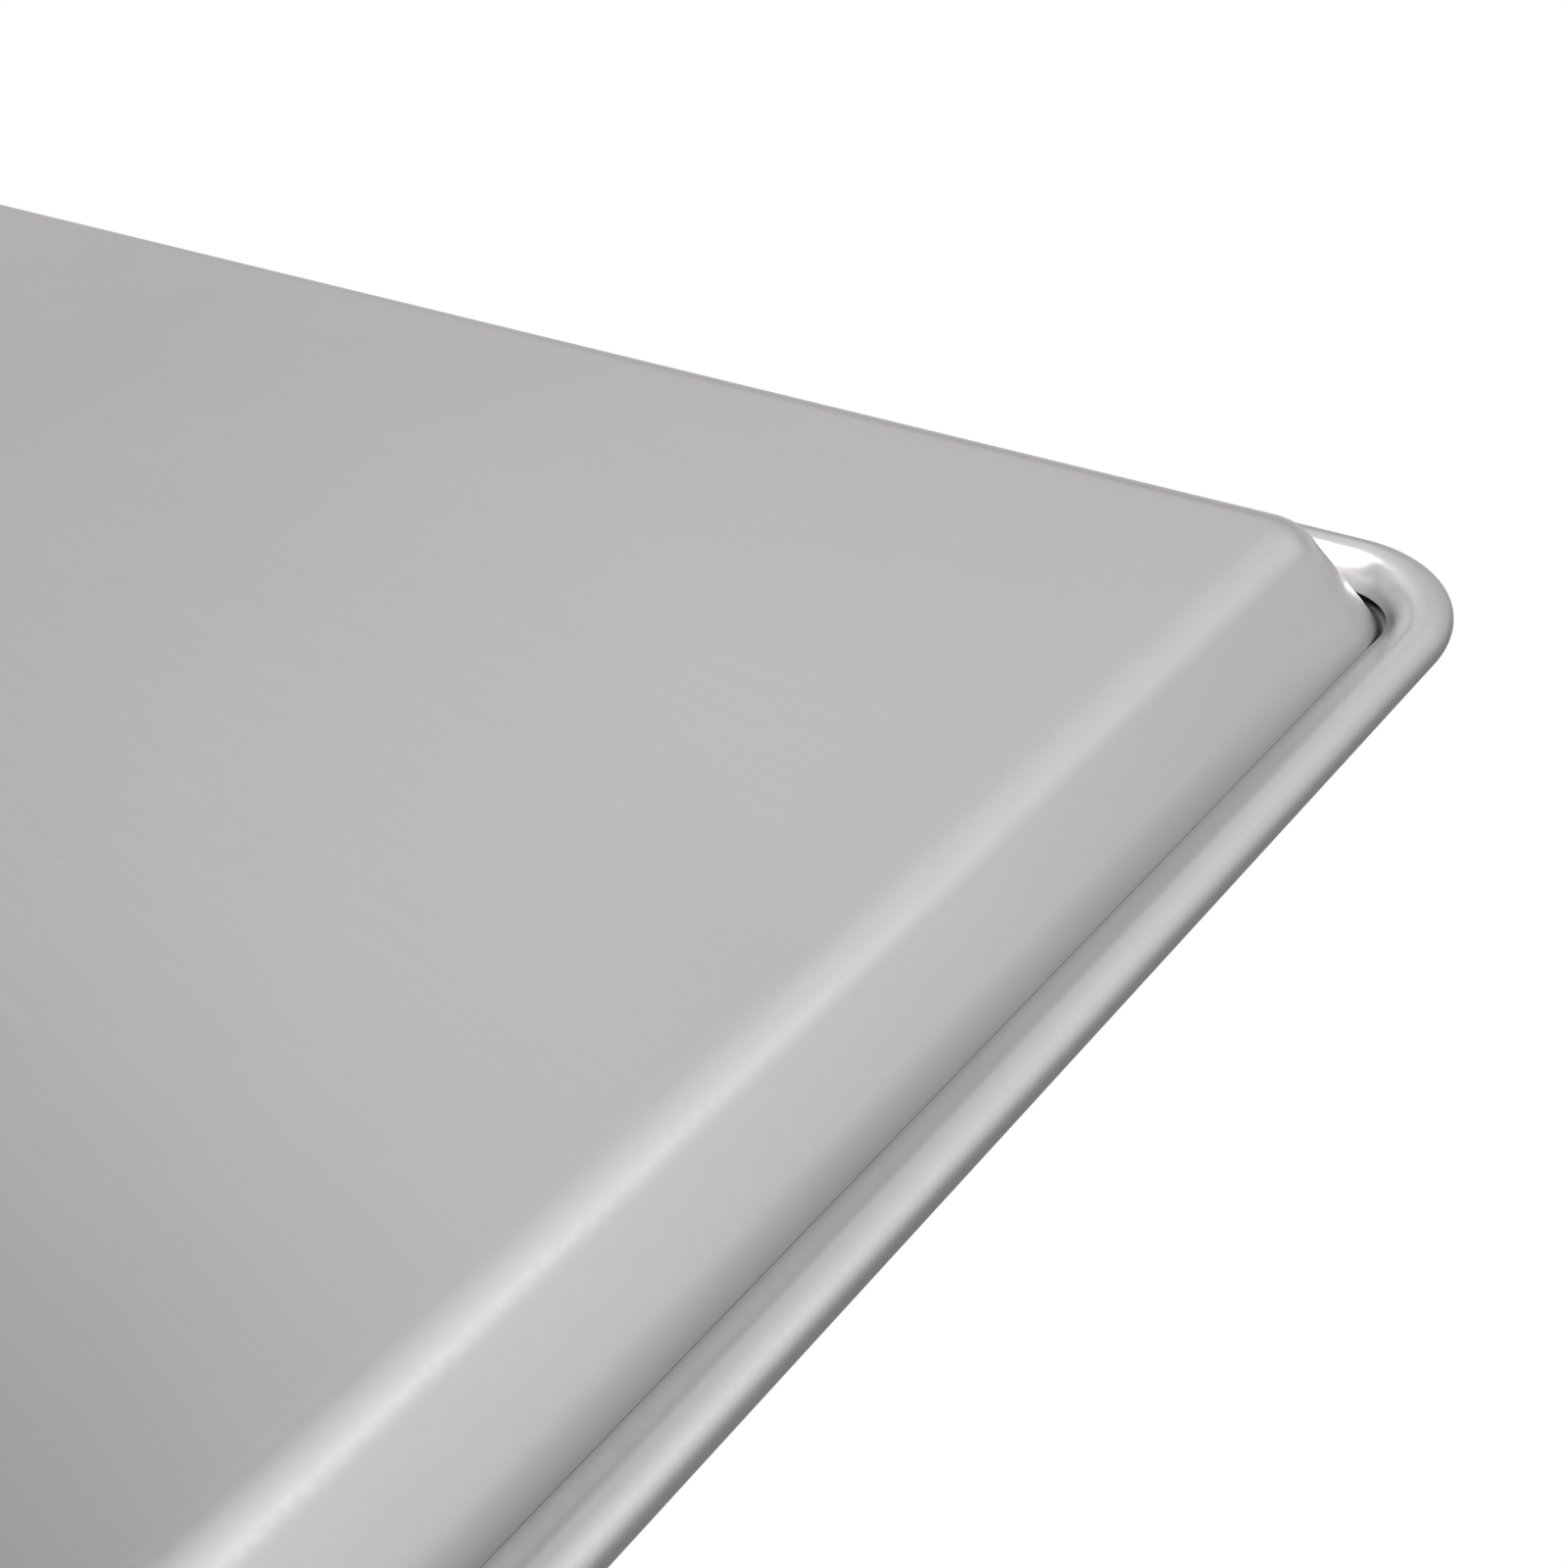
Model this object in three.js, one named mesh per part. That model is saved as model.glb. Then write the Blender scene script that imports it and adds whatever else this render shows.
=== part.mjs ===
// Full-size sheet pan: one aluminium sheet pressed into a shallow tray, with its rim rolled around a steel wire.
// Millimetres, +Z up. The origin is the centre of the underside, +X runs along the long side.
import * as THREE from 'three';

// Overall size, over the rolled rim
const overallLength = 657;
const overallWidth = 454;
const overallHeight = 25.4;

// Pressed sheet
const sheetThickness = 1.0;
const wallFlareDegrees = 28.8;    // how far the walls lean outward from upright
const bottomBendRadius = 9;       // outside of the bend between floor and wall
const floorCornerRadius = 4;      // plan radius of the flat floor's corners
const lipRadius = 1.2;            // underside of the bend between wall and rim
const rimLedge = 6.1;             // flat run of the rim between that bend and the roll

// Rolled rim and the wire inside it
const wireDiameter = 5.6;
const wireClearance = 0.3;        // between the wire and the sheet rolled around it
const tailTuck = 2;               // from the rim's underside down to the cut edge of the roll's straight tail
const tailGap = 0.3;              // between that edge and the wall along the sides
const cornerTurnDegrees = 20;     // how much further the roll turns in at the middle of a corner
const rimCornerRadius = 22.5;     // plan radius of the wire's centre line
const wireButtGap = 0.6;          // between the wire's two ends

// Facets
const cornerSteps = 10;
const bendSteps = 5;
const lipSteps = 5;
const rollSteps = 16;
const wireSides = 10;

const right = Math.PI / 2;
const flare = THREE.MathUtils.degToRad(wallFlareDegrees);
const wallTurn = right - flare;

// The section is measured outward from the line where the floor and the wall would meet if their bend were sharp.
const floorEdge = -bottomBendRadius * Math.tan(wallTurn / 2);
const rimUnderside = overallHeight - sheetThickness;
const lipCentre = new THREE.Vector2(
  rimUnderside * Math.tan(flare) + lipRadius * Math.tan(wallTurn / 2),
  rimUnderside - lipRadius,
);
const rollOutside = wireDiameter / 2 + wireClearance + sheetThickness;
const rollCentre = new THREE.Vector2(lipCentre.x + rimLedge, overallHeight - rollOutside);
const rimReach = rollCentre.x + rollOutside;
const floorHalf = new THREE.Vector2(overallLength / 2 - rimReach, overallWidth / 2 - rimReach);

// Past the wire the roll runs on as a straight tail, tucked in beside the wall.
const tailHeight = rimUnderside - tailTuck;
const tailEnd = new THREE.Vector2(tailHeight * Math.tan(flare) + tailGap / Math.cos(flare), tailHeight);
const rollToTail = tailEnd.clone().sub(rollCentre);
const rollEnd = rollToTail.angle() + Math.acos(rollOutside / rollToTail.length()) - 2 * Math.PI;

// Points along an arc of the section, both ends included.
function arc(centre, radius, from, to, steps) {
  return Array.from({ length: steps + 1 }, (_, i) => {
    const angle = from + (to - from) * i / steps;
    return new THREE.Vector2(centre.x + radius * Math.cos(angle), centre.y + radius * Math.sin(angle));
  });
}

// One skin of the roll, this far inside its outer skin: from the rim's top round the wire and along the tail.
// Where the corner opens it, the roll turns further in and its tail reaches down to one sheet from the rim.
function rollSkin(inset, opening) {
  const end = rollEnd - opening * THREE.MathUtils.degToRad(cornerTurnDegrees);
  const alongTail = new THREE.Vector2(Math.sin(end), -Math.cos(end));
  const cutHeight = rimUnderside - THREE.MathUtils.lerp(tailTuck, sheetThickness, opening);
  const tailLength = (cutHeight - rollCentre.y - rollOutside * Math.sin(end)) / alongTail.y;
  const turn = arc(rollCentre, rollOutside - inset, right, end, rollSteps);
  return [...turn, turn.at(-1).clone().addScaledVector(alongTail, tailLength)];
}

// Section of the sheet: along the underside from the floor to the roll's cut edge, and back along the upper side.
function sheetSection(opening) {
  const bendCentre = new THREE.Vector2(floorEdge, bottomBendRadius);
  const wallSide = Math.PI - flare;
  const underside = [
    ...arc(bendCentre, bottomBendRadius, -right, -flare, bendSteps),
    ...arc(lipCentre, lipRadius, wallSide, right, lipSteps),
    ...rollSkin(sheetThickness, opening),
  ];
  const upperSide = [
    ...rollSkin(0, opening).reverse(),
    ...arc(lipCentre, lipRadius + sheetThickness, right, wallSide, lipSteps),
    ...arc(bendCentre, bottomBendRadius - sheetThickness, -flare, -right, bendSteps),
  ];
  return [...underside, ...upperSide];
}

function wireSection() {
  return arc(rollCentre, wireDiameter / 2, 0, 2 * Math.PI, wireSides).slice(0, wireSides);
}

// Plan radius of the corners, growing from the flat floor out to the wire.
function cornerRadius(out) {
  const share = (out - floorEdge) / (rollCentre.x - floorEdge);
  return floorCornerRadius + (rimCornerRadius - floorCornerRadius) * share;
}

// A station turns a section's outward distance into a place in plan, and says how far the roll opens there.
// These go round one corner, anticlockwise.
function cornerStations(signX, signY, startAngle) {
  return Array.from({ length: cornerSteps + 1 }, (_, i) => ({
    opening: Math.sin(Math.PI * i / cornerSteps) ** 2,
    place(out) {
      const radius = cornerRadius(out);
      const angle = startAngle + right * i / cornerSteps;
      return new THREE.Vector2(
        signX * (floorHalf.x + out - radius) + radius * Math.cos(angle),
        signY * (floorHalf.y + out - radius) + radius * Math.sin(angle),
      );
    },
  }));
}

// All four corners, starting after the middle of the +Y side.
function loopStations() {
  return [
    ...cornerStations(-1, 1, right),
    ...cornerStations(-1, -1, 2 * right),
    ...cornerStations(1, -1, 3 * right),
    ...cornerStations(1, 1, 0),
  ];
}

// Rows of vertices, one row for each station, each row holding the points of the section there.
function sweptVertices(stations, sectionAt) {
  return stations.flatMap((station) => sectionAt(station.opening).flatMap((point) => {
    const plan = station.place(point.x);
    return [plan.x, plan.y, point.y];
  }));
}

function geometry(positions, triangles) {
  const shape = new THREE.BufferGeometry();
  shape.setAttribute('position', new THREE.Float32BufferAttribute(positions, 3));
  shape.setIndex(triangles);
  shape.computeVertexNormals();
  return shape;
}

// Two triangles between neighbouring stations and neighbouring points of the section.
function strip(station, nextStation, point, nextPoint, count) {
  const a = station * count + point;
  const b = nextStation * count + point;
  const c = nextStation * count + nextPoint;
  const d = station * count + nextPoint;
  return [a, b, c, a, c, d];
}

// The sheet's section runs once around the pan, and the flat floor closes it below and above.
function sheetGeometry() {
  const stations = loopStations();
  const count = sheetSection(0).length;
  const total = stations.length;
  const positions = sweptVertices(stations, sheetSection);
  const underCentre = total * count;
  const upperCentre = underCentre + 1;
  positions.push(0, 0, 0, 0, 0, sheetThickness);
  const triangles = [];
  for (let s = 0; s < total; s += 1) {
    const next = (s + 1) % total;
    for (let p = 0; p + 1 < count; p += 1) {
      triangles.push(...strip(s, next, p, p + 1, count));
    }
    triangles.push(underCentre, next * count, s * count);
    triangles.push(upperCentre, s * count + count - 1, next * count + count - 1);
  }
  return geometry(positions, triangles);
}

// The wire runs round inside the roll, and its ends butt at the middle of the +Y side.
function wireGeometry() {
  const buttEnd = (side) => ({
    opening: 0,
    place: (out) => new THREE.Vector2(side * wireButtGap / 2, floorHalf.y + out),
  });
  const stations = [buttEnd(-1), ...loopStations(), buttEnd(1)];
  const count = wireSides;
  const last = stations.length - 1;
  const triangles = [];
  for (let s = 0; s < last; s += 1) {
    for (let p = 0; p < count; p += 1) {
      triangles.push(...strip(s, s + 1, p, (p + 1) % count, count));
    }
  }
  for (let p = 1; p + 1 < count; p += 1) {
    triangles.push(0, p, p + 1);
    triangles.push(last * count, last * count + p + 1, last * count + p);
  }
  return geometry(sweptVertices(stations, wireSection), triangles);
}

function mesh(name, shape, material) {
  const piece = new THREE.Mesh(shape, material);
  piece.name = name;
  return piece;
}

const aluminium = new THREE.MeshStandardMaterial({ color: 0xc4c4c2, roughness: 0.38, metalness: 1 });
const galvanisedSteel = new THREE.MeshStandardMaterial({ color: 0x9ea1a3, roughness: 0.5, metalness: 1 });

const sheetPan = new THREE.Group();
sheetPan.add(mesh('pan_sheet', sheetGeometry(), aluminium));
sheetPan.add(mesh('rim_wire', wireGeometry(), galvanisedSteel));

export default sheetPan;
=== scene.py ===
"""Full sheet pan in satin aluminium, seen as photographed: upturned, close to one corner of its underside.

The pan stands upright in its frame, so the photographed view looks at it from below. The floor under it shows
only from above.
"""
import math
from collections import namedtuple

import bpy
from mathutils import Matrix, Vector


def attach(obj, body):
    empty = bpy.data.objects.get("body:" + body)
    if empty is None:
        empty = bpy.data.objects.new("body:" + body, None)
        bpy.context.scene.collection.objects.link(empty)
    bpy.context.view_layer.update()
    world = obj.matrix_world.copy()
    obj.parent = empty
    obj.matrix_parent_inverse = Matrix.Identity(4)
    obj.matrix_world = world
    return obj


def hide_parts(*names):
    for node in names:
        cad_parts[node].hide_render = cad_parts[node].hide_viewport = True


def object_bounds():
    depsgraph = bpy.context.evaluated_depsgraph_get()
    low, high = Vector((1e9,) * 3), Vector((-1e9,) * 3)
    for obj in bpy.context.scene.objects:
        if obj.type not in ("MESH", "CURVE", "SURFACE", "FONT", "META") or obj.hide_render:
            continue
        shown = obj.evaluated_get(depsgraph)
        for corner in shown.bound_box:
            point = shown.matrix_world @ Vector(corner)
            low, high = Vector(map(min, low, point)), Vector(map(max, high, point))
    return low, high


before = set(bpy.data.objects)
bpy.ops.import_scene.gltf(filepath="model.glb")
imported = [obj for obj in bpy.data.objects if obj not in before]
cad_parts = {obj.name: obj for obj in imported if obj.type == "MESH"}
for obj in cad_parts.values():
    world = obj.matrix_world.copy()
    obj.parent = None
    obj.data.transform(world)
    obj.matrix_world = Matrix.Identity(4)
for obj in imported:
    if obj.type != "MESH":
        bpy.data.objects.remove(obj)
cad_low, cad_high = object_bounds()

QUARTER = math.pi / 2
UNIT = (0, 1)
BOTH_WAYS = (-1, 1)
WHITE = (1, 1, 1, 1)

# Pressed sheet, in metres
SHEET = 0.001
WALL_FLARE = math.radians(28.8)         # how far the walls lean outward from upright
BOTTOM_BEND = 0.009                     # outside of the bend between floor and wall
FLOOR_CORNER = 0.004                    # plan radius of the flat floor's corners
LIP = 0.0012                            # underside of the bend between wall and rim
RIM_LEDGE = 0.0061                      # flat run of the rim between that bend and the roll

# Rolled rim and its wire
WIRE_RADIUS = 0.0028
WIRE_CLEARANCE = 0.0003                 # between the wire and the sheet rolled around it
TAIL_TUCK = 0.002                       # from the rim's underside down to the cut edge of the roll's tail
TAIL_GAP = 0.00005                      # between that edge and the wall along the sides
TAIL_BELLY = math.radians(5)            # how early the tail leaves the roll, so that it swells a little
CORNER_TURN = math.radians(20)          # how much further the roll turns in at the middle of a corner
CORNER_TRIM = 0.0005                    # how much its tail draws back there
RIM_CORNER = 0.0225                     # plan radius of the wire's centre line
WIRE_BUTT_GAP = 0.0006                  # between the wire's two ends

# Fineness of the swept skins
CORNER_STEPS = 40
BEND_STEPS = 18
LIP_STEPS = 14
ROLL_STEPS = 48
TAIL_STEPS = 8
WIRE_SIDES = 28
RUN_SUPPORT = 0.06                      # share of a straight run from its end to the point that keeps it flat
SIDE_SUPPORTS = (0.003, 0.018, 0.04)    # extra stations along the sides, measured from the corners
FLOOR_SUPPORT = 0.002                   # from the floor's edge in to the ring that keeps it flat
SHARP_ANGLE = math.radians(50)          # edges that turn more than this are shaded sharp

# Polish of the roll, from 1 where the rolling tool left it smooth and a lighter colour paints a glint on it,
# to -1 where it is scuffed and rougher
SIDE_POLISH_AND_GLINT = 0.1                       # share of the corners' polish and painted glint along the sides
CURL_POLISH_AND_GLINT_RATE = 5                    # how fast the roll's polish and painted glint grow towards its tail
TAIL_DULL_RATE = 3.4                    # how fast the tail's painted glint fades and it grows rougher towards its cut edge

# Section, measured outward from where floor and wall would meet if their bend were sharp
WALL_TURN = QUARTER - WALL_FLARE
FLOOR_EDGE = -BOTTOM_BEND * math.tan(WALL_TURN / 2)
BEND_CENTRE = Vector((FLOOR_EDGE, BOTTOM_BEND))
RIM_TOP = cad_high.z
RIM_UNDERSIDE = RIM_TOP - SHEET
LIP_CENTRE = Vector((
    RIM_UNDERSIDE * math.tan(WALL_FLARE) + LIP * math.tan(WALL_TURN / 2),
    RIM_UNDERSIDE - LIP,
))
ROLL = WIRE_RADIUS + WIRE_CLEARANCE + SHEET
ROLL_CENTRE = Vector((LIP_CENTRE.x + RIM_LEDGE, RIM_TOP - ROLL))
TAIL_HEIGHT = RIM_UNDERSIDE - TAIL_TUCK
TAIL_END = Vector((TAIL_HEIGHT * math.tan(WALL_FLARE) + TAIL_GAP / math.cos(WALL_FLARE), TAIL_HEIGHT))
ROLL_TO_TAIL = TAIL_END - ROLL_CENTRE
ROLL_END = math.atan2(ROLL_TO_TAIL.y, ROLL_TO_TAIL.x) + math.acos(ROLL / ROLL_TO_TAIL.length) - 2 * math.pi
RIM_REACH = ROLL_CENTRE.x + ROLL
HALF_LENGTH = cad_high.x - RIM_REACH
HALF_WIDTH = cad_high.y - RIM_REACH

# Aluminium: scale, stretch and detail of each noise, colours with the lighter one that paints a glint on the
# roll, and what noise and polish do to the roughness
GRAIN = (900, (0.03, 1, 1), 4)
CLOUDS = (9, (0.6, 1, 1), 3)
HANDLING = (260, (1, 0.05, 1), 2)
ALUMINIUM_SHADES = ((0.3, (0.585, 0.578, 0.57, 1)), (0.7, (0.61, 0.602, 0.595, 1)))
# The next colour is a painted glint, which the roll's colour lightens to where its polish is positive.
ALUMINIUM_PAINTED_GLINT = (0.82, 0.815, 0.81, 1)
NOISE_BAND = (0.3, 0.7)
HANDLING_BAND = (0.68, 0.8)
GRAIN_ROUGHNESS = (0.33, 0.39)
CLOUD_ROUGHNESS = (-0.015, 0.015)
HANDLING_ROUGHNESS = (0, 0.05)
POLISH_SMOOTHING = (-0.13, 0.06)
GRAIN_RELIEF = 0.06
GRAIN_DEPTH = 0.00002

# Galvanised steel, in the same terms
SPANGLE = (1400, (1, 1, 1), 2)
STREAKS = (500, (0.2, 0.2, 1), 3)
STEEL_SHADES = ((0.35, (0.36, 0.37, 0.385, 1)), (0.65, (0.52, 0.53, 0.54, 1)))
STREAK_ROUGHNESS = (0.42, 0.58)
SPANGLE_RELIEF = 0.2
SPANGLE_DEPTH = 0.00005

# Sockets of a Mix node that mixes colours
MIX_SHARE = 0
MIX_FIRST = 6
MIX_SECOND = 7
MIX_RESULT = 2

# Camera, measured from the corner of the underside that the photograph shows
VIEW_PITCH = math.radians(38.24)
VIEW_HEADING = math.radians(52.209)
VIEW_ROLL = math.radians(13.737)
CAMERA_OUT = 0.11745
CAMERA_BACK = 0.22058
CAMERA_BELOW = 0.1495
FOCAL_PIXELS = 1572.1
FRAME_PIXELS = 1600
SENSOR_MM = 36
CLIP_START = 0.01

# Floor, which fades to white between two distances from the pan's middle
FLOOR_HALF = 6
FLOOR_DROP = 0.0005
FLOOR_LEVEL = 0.94
FLOOR_FADE = (0.45, 1.5)

# Table card, a glowing card for the metal to reflect in place of the lit table, with a painted contact shadow
# next to the rim: how far outside the rim, and how strongly it glows there
CARD_HEIGHT = 0.0262
CARD_GLOW_WITH_PAINTED_SHADOW = ((-0.002, 0.2), (0.01, 0.2), (0.03, 0.3), (0.06, 0.85), (0.4, 0.95))

# Studio below the pan: (place, level) stops by how far a direction points to the dim side, up and along X.
# Place 0 is straight away from each, 0.5 square to it and 1 straight towards it.
DIM_SIDE = (-0.369, 0.527, -0.766)
STUDIO_BY_SIDE = (
    (0, 0.9), (0.5, 0.9), (0.6, 0.95), (0.67, 0.99), (0.72, 0.93),
    (0.77, 0.82), (0.82, 0.95), (0.845, 0.92), (0.89, 0.58), (1, 0.35),
)
STUDIO_BY_HEIGHT = (
    (0, 1.0), (0.07, 1.0), (0.125, 0.9), (0.16, 0.94), (0.18, 0.99),
    (0.21, 1.03), (0.26, 1.0), (0.3, 0.79), (0.37, 0.48), (0.5, 0.6),
)
STUDIO_BY_LENGTH = (
    (0, 1.12), (0.1, 1.07), (0.22, 0.97), (0.28, 0.95),
    (0.5, 1.05), (0.7, 1.14), (0.84, 1.27), (0.95, 2.0),
)

# Studio above the pan, and the heights between which the one passes into the other
STUDIO_ABOVE = 0.85
STUDIO_HORIZON = (-0.02, 0.15)

# Lamps, in metres and watts
LAMP_DISTANCE = 2
SPOT_RADIUS = 0.12
SPOT_BEAM = math.radians(9)
SPOT_BLEND = 0.5
SPOT_AZIMUTH = math.radians(-197)
SPOT_ELEVATION = math.radians(-60.5)
SPOT_POWER = 27
BOX_SIZE = 2.2
BOX_AZIMUTH = math.radians(60)
BOX_ELEVATION = math.radians(65)
BOX_POWER = 8

# A place on the way round the pan: the signs of its corner, its angle there and its shift along the side
Station = namedtuple("Station", "sign_x sign_y angle shift")


def outward(angle):
    """Unit vector of the section at this angle."""
    return Vector((math.cos(angle), math.sin(angle)))


def arc(centre, radius, start, end, steps):
    """Points along an arc of the section, both ends included."""
    turn = [start + (end - start) * i / steps for i in range(steps + 1)]
    return [centre + radius * outward(angle) for angle in turn]


def run(start, end):
    """Two points inside a straight run, close to its ends, that keep its shading flat."""
    return [start.lerp(end, RUN_SUPPORT), start.lerp(end, 1 - RUN_SUPPORT)]


def skin(rise, opening):
    """One skin of the sheet, this far above the underside, from the floor's edge to the roll's cut edge.

    Where the corner opens it, the roll turns further in and its tail draws back from the wall.
    """
    end = ROLL_END - opening * CORNER_TURN
    along_tail = outward(end - QUARTER)
    cut_height = RIM_UNDERSIDE - TAIL_TUCK + opening * (TAIL_TUCK - SHEET)
    tail_length = (cut_height - ROLL_CENTRE.y - ROLL * math.sin(end)) / along_tail.y - opening * CORNER_TRIM
    cut_edge = ROLL_CENTRE + ROLL * outward(end) + tail_length * along_tail

    # The tail leaves the roll early and bends on to the cut edge.
    leave = end + TAIL_BELLY
    chord = cut_edge - (ROLL_CENTRE + ROLL * outward(leave))
    bend = outward(leave - QUARTER).angle(chord)
    tail_radius = chord.length / (2 * math.sin(bend))
    tail_centre = ROLL_CENTRE + (ROLL - tail_radius) * outward(leave)

    foot = arc(BEND_CENTRE, BOTTOM_BEND - rise, -QUARTER, -WALL_FLARE, BEND_STEPS)
    shoulder = arc(LIP_CENTRE, LIP + rise, math.pi - WALL_FLARE, QUARTER, LIP_STEPS)
    curl = arc(ROLL_CENTRE, ROLL - SHEET + rise, QUARTER, leave, ROLL_STEPS)
    tail = arc(tail_centre, tail_radius - SHEET + rise, leave, leave - 2 * bend, TAIL_STEPS)
    wall = run(foot[-1], shoulder[0])
    ledge = run(shoulder[-1], curl[0])
    return foot + wall + shoulder + ledge + curl + tail[1:]


def sheet_section(opening):
    """The sheet's section: along the underside to the roll's cut edge and back along the upper side."""
    underside = skin(0, opening)
    upper_side = skin(SHEET, opening)
    inset = Vector((-FLOOR_SUPPORT, 0))
    return [underside[0] + inset, *underside, *reversed(upper_side), upper_side[0] + inset]


def corner_radius(out):
    """Plan radius of the corners, growing from the flat floor out to the wire."""
    share = (out - FLOOR_EDGE) / (ROLL_CENTRE.x - FLOOR_EDGE)
    return FLOOR_CORNER + (RIM_CORNER - FLOOR_CORNER) * share


def corner_opening(station):
    """How far the rim opens: not along the sides, most at the middle of each corner."""
    return math.sin(2 * station.angle) ** 2 if station.shift == 0 else 0.0


def loop_stations():
    """Stations round the pan, anticlockwise from the middle of the +Y side."""
    stations = []
    for sign_x, sign_y, quarters in ((-1, 1, 1), (-1, -1, 2), (1, -1, 3), (1, 1, 4)):
        turn = [quarters * QUARTER + QUARTER * i / CORNER_STEPS for i in range(CORNER_STEPS + 1)]
        stations += [Station(sign_x, sign_y, turn[0], -shift) for shift in reversed(SIDE_SUPPORTS)]
        stations += [Station(sign_x, sign_y, angle, 0.0) for angle in turn]
        stations += [Station(sign_x, sign_y, turn[-1], shift) for shift in SIDE_SUPPORTS]
    return stations


def plan_point(station, out):
    """Where a station puts a section point that lies this far outward."""
    sign_x, sign_y, angle, shift = station
    radius = corner_radius(out)
    return Vector((
        sign_x * (HALF_LENGTH + out - radius) + radius * math.cos(angle) - shift * math.sin(angle),
        sign_y * (HALF_WIDTH + out - radius) + radius * math.sin(angle) + shift * math.cos(angle),
    ))


def sweep(stations, sections):
    """Vertices, one row for each station."""
    rows = zip(stations, sections)
    return [(*plan_point(station, point.x), point.y) for station, section in rows for point in section]


def strips(rows, count, closed_loop, closed_section):
    """Quads between neighbouring rows and neighbouring points of the section."""
    faces = []
    for row in range(rows if closed_loop else rows - 1):
        next_row = (row + 1) % rows
        for point in range(count if closed_section else count - 1):
            next_point = (point + 1) % count
            faces.append((
                row * count + point,
                next_row * count + point,
                next_row * count + next_point,
                row * count + next_point,
            ))
    return faces


def polish_and_painted_glint(stations):
    """Polish of each vertex of the sheet, with the roll's painted glint: plain but for the roll, which is
    smoothest and painted brightest round the corners.
    """
    curl = [max(-1.0, 1 - CURL_POLISH_AND_GLINT_RATE * (1 - i / ROLL_STEPS)) for i in range(ROLL_STEPS + 1)]
    tail = [min(1.0, TAIL_DULL_RATE * (1 - (i + 1) / TAIL_STEPS) - 1) for i in range(TAIL_STEPS)]
    pressed = [0.0] * (len(skin(0, 0)) - len(curl) - len(tail))
    underside = pressed + curl + tail
    across = [0.0, *underside, *reversed(underside), 0.0]
    along = [max(SIDE_POLISH_AND_GLINT, 1 - abs(station.shift) / SIDE_SUPPORTS[-1]) for station in stations]
    return [share * rim if rim > 0 else rim for share in along for rim in across]


def mesh_object(name, vertices, faces, material):
    """A mesh of the pan, smooth but for its sharp edges."""
    mesh = bpy.data.meshes.new(name)
    mesh.from_pydata(vertices, [], faces)
    mesh.materials.append(material)
    mesh.shade_smooth()
    mesh.set_sharp_from_angle(angle=SHARP_ANGLE)
    mesh.validate()
    piece = bpy.data.objects.new(name, mesh)
    bpy.context.scene.collection.objects.link(piece)
    return piece


def make_sheet(material):
    """Floor, walls, lip and roll as one closed skin."""
    stations = loop_stations()
    sections = [sheet_section(corner_opening(station)) for station in stations]
    rows, count = len(stations), len(sections[0])
    faces = strips(rows, count, True, False)
    faces.append(tuple(row * count for row in reversed(range(rows))))
    faces.append(tuple(row * count + count - 1 for row in range(rows)))
    sheet = mesh_object("pan_sheet_skin", sweep(stations, sections), faces, material)
    # Each vertex's polish, which also sets where the roll's painted glint lies.
    polish_and_glint = sheet.data.attributes.new("polish_and_painted_glint", "FLOAT", "POINT")
    polish_and_glint.data.foreach_set("value", polish_and_painted_glint(stations))
    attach(sheet, "root")
    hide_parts("pan_sheet")


def make_wire(material):
    """The round wire inside the roll, with its two ends butted at the middle of the +Y side."""
    section = arc(ROLL_CENTRE, WIRE_RADIUS, 0, 2 * math.pi, WIRE_SIDES)[:-1]
    stations = loop_stations()
    count = len(section)
    start, end = (
        [(side * WIRE_BUTT_GAP / 2, HALF_WIDTH + point.x, point.y) for point in section]
        for side in BOTH_WAYS
    )
    vertices = start + sweep(stations, [section] * len(stations)) + end
    rows = len(vertices) // count
    faces = strips(rows, count, False, True)
    faces.append(tuple(range(count)))
    faces.append(tuple((rows - 1) * count + point for point in reversed(range(count))))
    wire = mesh_object("rim_wire_round", vertices, faces, material)
    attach(wire, "root")
    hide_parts("rim_wire")


def grey(level):
    """An opaque grey."""
    return (level, level, level, 1)


def metal(name):
    """A new metal with its node tree and its main shader."""
    material = bpy.data.materials.new(name)
    material.use_nodes = True
    tree = material.node_tree
    bsdf = tree.nodes["Principled BSDF"]
    bsdf.inputs["Metallic"].default_value = 1
    return material, tree, bsdf


def noise(tree, scale, stretch, detail):
    """Noise over the piece in its own metres, stretched along the axes."""
    place = tree.nodes.new("ShaderNodeTexCoord")
    mapping = tree.nodes.new("ShaderNodeMapping")
    mapping.inputs["Scale"].default_value = stretch
    texture = tree.nodes.new("ShaderNodeTexNoise")
    texture.inputs["Scale"].default_value = scale
    texture.inputs["Detail"].default_value = detail
    tree.links.new(place.outputs["Object"], mapping.inputs["Vector"])
    tree.links.new(mapping.outputs["Vector"], texture.inputs["Vector"])
    return texture.outputs["Fac"]


def span(tree, value, before, after):
    """A value in the range before, brought to the range after and kept within it."""
    node = tree.nodes.new("ShaderNodeMapRange")
    node.inputs["From Min"].default_value, node.inputs["From Max"].default_value = before
    node.inputs["To Min"].default_value, node.inputs["To Max"].default_value = after
    tree.links.new(value, node.inputs["Value"])
    return node.outputs["Result"]


def combine(tree, operation, first, second):
    """Two values joined by one operation."""
    node = tree.nodes.new("ShaderNodeMath")
    node.operation = operation
    tree.links.new(first, node.inputs[0])
    tree.links.new(second, node.inputs[1])
    return node.outputs["Value"]


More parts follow.
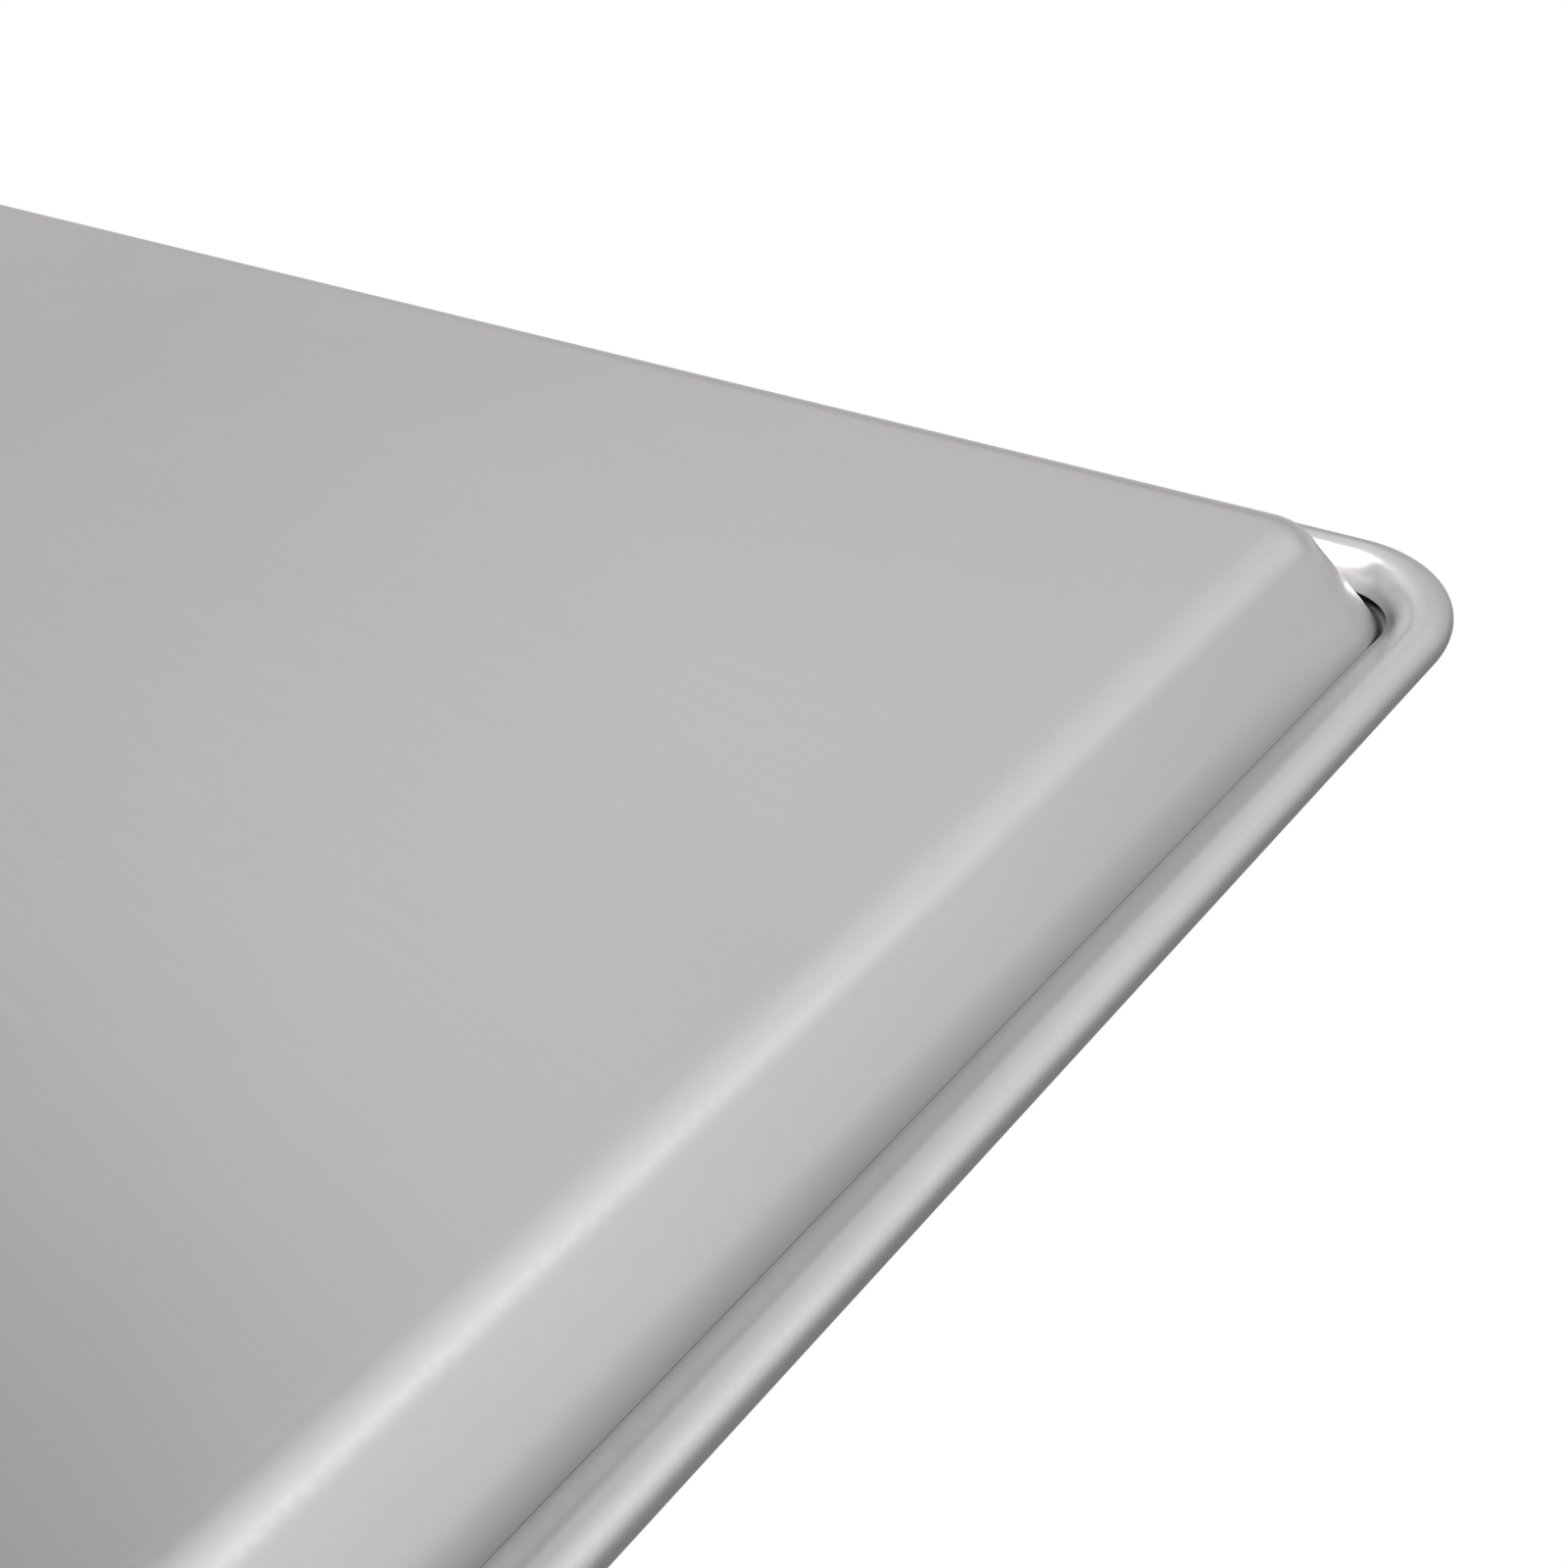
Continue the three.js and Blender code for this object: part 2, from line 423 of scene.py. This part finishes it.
def ramp(tree, value, stops, interpolation="LINEAR"):
    """Colours through (place, colour) stops along a value."""
    node = tree.nodes.new("ShaderNodeValToRGB")
    node.color_ramp.interpolation = interpolation
    elements = node.color_ramp.elements
    for place, colour in stops[1:-1]:
        elements.new(place).color = colour
    for element, (place, colour) in ((elements[0], stops[0]), (elements[-1], stops[-1])):
        element.position = place
        element.color = colour
    tree.links.new(value, node.inputs["Fac"])
    return node.outputs["Color"]


def relief(tree, height, strength, depth):
    """Normals of a shallow relief."""
    node = tree.nodes.new("ShaderNodeBump")
    node.inputs["Strength"].default_value = strength
    node.inputs["Distance"].default_value = depth
    tree.links.new(height, node.inputs["Height"])
    return node.outputs["Normal"]


def mix_shaders(tree, share, first, second):
    """The first shader where the share is 0, passing into the second where it is 1."""
    node = tree.nodes.new("ShaderNodeMixShader")
    tree.links.new(share, node.inputs["Fac"])
    tree.links.new(first, node.inputs[1])
    tree.links.new(second, node.inputs[2])
    return node.outputs["Shader"]


def satin_aluminium():
    """Mill-finish sheet: grain along the rolling direction, faint clouds and handling marks.

    The roll has a polish of its own: smoother, with a lighter colour painted on as a glint, round the
    corners, and rougher where it is scuffed.
    """
    material, tree, bsdf = metal("satin_aluminium")
    grain = noise(tree, *GRAIN)
    clouds = noise(tree, *CLOUDS)
    handling = noise(tree, *HANDLING)
    polish_and_glint = tree.nodes.new("ShaderNodeAttribute")
    polish_and_glint.attribute_name = "polish_and_painted_glint"
    polish_glint_share = polish_and_glint.outputs["Fac"]

    # Where the roll's polish is positive, its colour lightens towards a painted glint.
    painted_glint_mix = tree.nodes.new("ShaderNodeMix")
    painted_glint_mix.data_type = "RGBA"
    tree.links.new(span(tree, polish_glint_share, UNIT, UNIT), painted_glint_mix.inputs[MIX_SHARE])
    tree.links.new(ramp(tree, clouds, ALUMINIUM_SHADES), painted_glint_mix.inputs[MIX_FIRST])
    painted_glint_mix.inputs[MIX_SECOND].default_value = ALUMINIUM_PAINTED_GLINT
    tree.links.new(painted_glint_mix.outputs[MIX_RESULT], bsdf.inputs["Base Color"])

    roughness = span(tree, grain, NOISE_BAND, GRAIN_ROUGHNESS)
    roughness = combine(tree, "ADD", roughness, span(tree, clouds, NOISE_BAND, CLOUD_ROUGHNESS))
    roughness = combine(tree, "ADD", roughness, span(tree, handling, HANDLING_BAND, HANDLING_ROUGHNESS))
    roughness = combine(tree, "SUBTRACT", roughness, span(tree, polish_glint_share, BOTH_WAYS, POLISH_SMOOTHING))
    tree.links.new(roughness, bsdf.inputs["Roughness"])

    height = combine(tree, "ADD", grain, handling)
    tree.links.new(relief(tree, height, GRAIN_RELIEF, GRAIN_DEPTH), bsdf.inputs["Normal"])
    return material


def galvanised_steel():
    """Zinc-coated wire with a fine spangle and duller drawn streaks along it."""
    material, tree, bsdf = metal("galvanised_steel")
    spangle = noise(tree, *SPANGLE)
    streaks = noise(tree, *STREAKS)
    tree.links.new(ramp(tree, spangle, STEEL_SHADES), bsdf.inputs["Base Color"])
    tree.links.new(span(tree, streaks, NOISE_BAND, STREAK_ROUGHNESS), bsdf.inputs["Roughness"])
    tree.links.new(relief(tree, spangle, SPANGLE_RELIEF, SPANGLE_DEPTH), bsdf.inputs["Normal"])
    return material


def make_camera():
    """The photographed view, from below the corner where the +X and -Y sides meet."""
    ahead = Vector((
        -math.sin(VIEW_HEADING) * math.cos(VIEW_PITCH),
        -math.cos(VIEW_HEADING) * math.cos(VIEW_PITCH),
        math.sin(VIEW_PITCH),
    ))
    level = Vector((math.cos(VIEW_HEADING), -math.sin(VIEW_HEADING), 0))
    right = math.cos(VIEW_ROLL) * level + math.sin(VIEW_ROLL) * ahead.cross(level)
    up = right.cross(ahead)
    data = bpy.data.cameras.new("camera")
    data.sensor_width = SENSOR_MM
    data.lens = FOCAL_PIXELS / FRAME_PIXELS * SENSOR_MM
    data.clip_start = CLIP_START
    camera = bpy.data.objects.new("camera", data)
    camera.matrix_world = Matrix((right, up, -ahead)).transposed().to_4x4()
    camera.location = (HALF_LENGTH + CAMERA_OUT, CAMERA_BACK - HALF_WIDTH, -CAMERA_BELOW)
    bpy.context.scene.collection.objects.link(camera)
    bpy.context.scene.camera = camera


def studio_level(tree, value, stops):
    """A smooth grey gradient through (place, level) stops, along a value from -1 to 1."""
    shades = [(place, grey(level)) for place, level in stops]
    return ramp(tree, span(tree, value, BOTH_WAYS, UNIT), shades, "EASE")


def background(tree, colour):
    """A plain background of this colour."""
    node = tree.nodes.new("ShaderNodeBackground")
    node.inputs["Color"].default_value = colour
    return node


def make_world():
    """White behind the pan, and a soft near-white studio all round for the metal to reflect."""
    world = bpy.data.worlds.new("studio")
    bpy.context.scene.world = world
    world.use_nodes = True
    tree = world.node_tree
    below = tree.nodes["Background"]
    below.inputs["Color"].default_value = WHITE
    above = background(tree, grey(STUDIO_ABOVE))
    backdrop = background(tree, WHITE)

    place = tree.nodes.new("ShaderNodeTexCoord")
    direction = place.outputs["Generated"]
    split = tree.nodes.new("ShaderNodeSeparateXYZ")
    tree.links.new(direction, split.inputs["Vector"])
    dim = tree.nodes.new("ShaderNodeVectorMath")
    dim.operation = "DOT_PRODUCT"
    dim.inputs[1].default_value = DIM_SIDE
    tree.links.new(direction, dim.inputs[0])

    by_side = studio_level(tree, dim.outputs["Value"], STUDIO_BY_SIDE)
    by_height = studio_level(tree, split.outputs["Z"], STUDIO_BY_HEIGHT)
    by_length = studio_level(tree, split.outputs["X"], STUDIO_BY_LENGTH)
    level = combine(tree, "MULTIPLY", combine(tree, "MULTIPLY", by_side, by_height), by_length)
    tree.links.new(level, below.inputs["Strength"])

    rise = span(tree, split.outputs["Z"], STUDIO_HORIZON, UNIT)
    studio = mix_shaders(tree, rise, below.outputs["Background"], above.outputs["Background"])
    ray = tree.nodes.new("ShaderNodeLightPath")
    seen = mix_shaders(tree, ray.outputs["Is Camera Ray"], studio, backdrop.outputs["Background"])
    tree.links.new(seen, tree.nodes["World Output"].inputs["Surface"])


def stage_material(name):
    """A new material for the stage and its node tree, in which only the output is left."""
    material = bpy.data.materials.new(name)
    material.use_nodes = True
    tree = material.node_tree
    tree.nodes.remove(tree.nodes["Principled BSDF"])
    return material, tree


def show_front(tree, front):
    """Shows this shader on the front of a stage sheet, and lets rays through from behind."""
    side = tree.nodes.new("ShaderNodeNewGeometry")
    behind = tree.nodes.new("ShaderNodeBsdfTransparent")
    seen = mix_shaders(tree, side.outputs["Backfacing"], front, behind.outputs["BSDF"])
    tree.links.new(seen, tree.nodes["Material Output"].inputs["Surface"])


def rectangle(half_x, half_y, height):
    """Corners of a level rectangle, anticlockwise from above."""
    corners = ((-half_x, -half_y), (half_x, -half_y), (half_x, half_y), (-half_x, half_y))
    return [(x, y, height) for x, y in corners]


def stage_sheet(name, vertices, faces, material):
    """A flat piece of the stage, which only the camera and reflections can see."""
    mesh = bpy.data.meshes.new(name)
    mesh.from_pydata(vertices, [], faces)
    mesh.materials.append(material)
    sheet = bpy.data.objects.new(name, mesh)
    bpy.context.scene.collection.objects.link(sheet)
    sheet.visible_diffuse = False
    sheet.visible_transmission = False
    sheet.visible_volume_scatter = False
    sheet.visible_shadow = False
    return sheet


def make_floor():
    """A pale floor under the pan, seen from above only, which fades to white far out."""
    material, tree = stage_material("pale_floor")
    paint = tree.nodes.new("ShaderNodeBsdfDiffuse")
    paint.inputs["Color"].default_value = grey(FLOOR_LEVEL)
    white = tree.nodes.new("ShaderNodeEmission")
    white.inputs["Color"].default_value = WHITE
    place = tree.nodes.new("ShaderNodeTexCoord")
    distance = tree.nodes.new("ShaderNodeVectorMath")
    distance.operation = "LENGTH"
    tree.links.new(place.outputs["Object"], distance.inputs[0])
    far = span(tree, distance.outputs["Value"], FLOOR_FADE, UNIT)
    show_front(tree, mix_shaders(tree, far, paint.outputs["BSDF"], white.outputs["Emission"]))
    vertices = rectangle(FLOOR_HALF, FLOOR_HALF, -FLOOR_DROP)
    floor = stage_sheet("floor", vertices, [tuple(range(len(vertices)))], material)
    floor.visible_glossy = False


def make_table_card():
    """A glowing card level with the rim, darker next to it as a painted contact shadow, as the table under
    the upturned pan looks to the rim.
    """
    material, tree = stage_material("table_card")
    glow = tree.nodes.new("ShaderNodeEmission")
    # The glow at each corner of the card, dimmest next to the rim as a painted contact shadow.
    glow_with_painted_shadow = tree.nodes.new("ShaderNodeAttribute")
    glow_with_painted_shadow.attribute_name = "glow_with_painted_shadow"
    tree.links.new(glow_with_painted_shadow.outputs["Fac"], glow.inputs["Strength"])
    show_front(tree, glow.outputs["Emission"])
    rings = [rectangle(cad_high.x + grow, cad_high.y + grow, CARD_HEIGHT) for grow, level in CARD_GLOW_WITH_PAINTED_SHADOW]
    vertices = [corner for ring in rings for corner in ring]
    levels = [level for grow, level in CARD_GLOW_WITH_PAINTED_SHADOW for corner in rings[0]]
    facing_up = strips(len(rings), len(rings[0]), False, True)
    faces = [tuple(reversed(face)) for face in facing_up]
    card = stage_sheet("table_card", vertices, faces, material)
    card.data.attributes.new("glow_with_painted_shadow", "FLOAT", "POINT").data.foreach_set("value", levels)
    card.visible_camera = False


def hang_lamp(data, target, azimuth, elevation, power):
    """Hangs a lamp so that it faces the target."""
    data.energy = power
    lamp = bpy.data.objects.new(data.name, data)
    towards = Vector((
        math.cos(azimuth) * math.cos(elevation),
        math.sin(azimuth) * math.cos(elevation),
        math.sin(elevation),
    ))
    lamp.location = target + towards * LAMP_DISTANCE
    lamp.rotation_euler = towards.to_track_quat("Z", "Y").to_euler()
    lamp.visible_camera = False
    bpy.context.scene.collection.objects.link(lamp)


def make_lamps():
    """A narrow spot for the glint on the photographed corner's rim, and a soft box above the pan."""
    corner = Vector((cad_high.x - RIM_CORNER, cad_low.y + RIM_CORNER, cad_high.z))
    spot = bpy.data.lights.new("corner_spot", "SPOT")
    spot.shadow_soft_size = SPOT_RADIUS
    spot.spot_size = SPOT_BEAM
    spot.spot_blend = SPOT_BLEND
    hang_lamp(spot, corner, SPOT_AZIMUTH, SPOT_ELEVATION, SPOT_POWER)
    box = bpy.data.lights.new("top_box", "AREA")
    box.size = BOX_SIZE
    hang_lamp(box, Vector((0, 0, 0)), BOX_AZIMUTH, BOX_ELEVATION, BOX_POWER)


bpy.context.scene.view_settings.view_transform = "Standard"
make_camera()
make_sheet(satin_aluminium())
make_wire(galvanised_steel())
make_world()
make_floor()
make_table_card()
make_lamps()
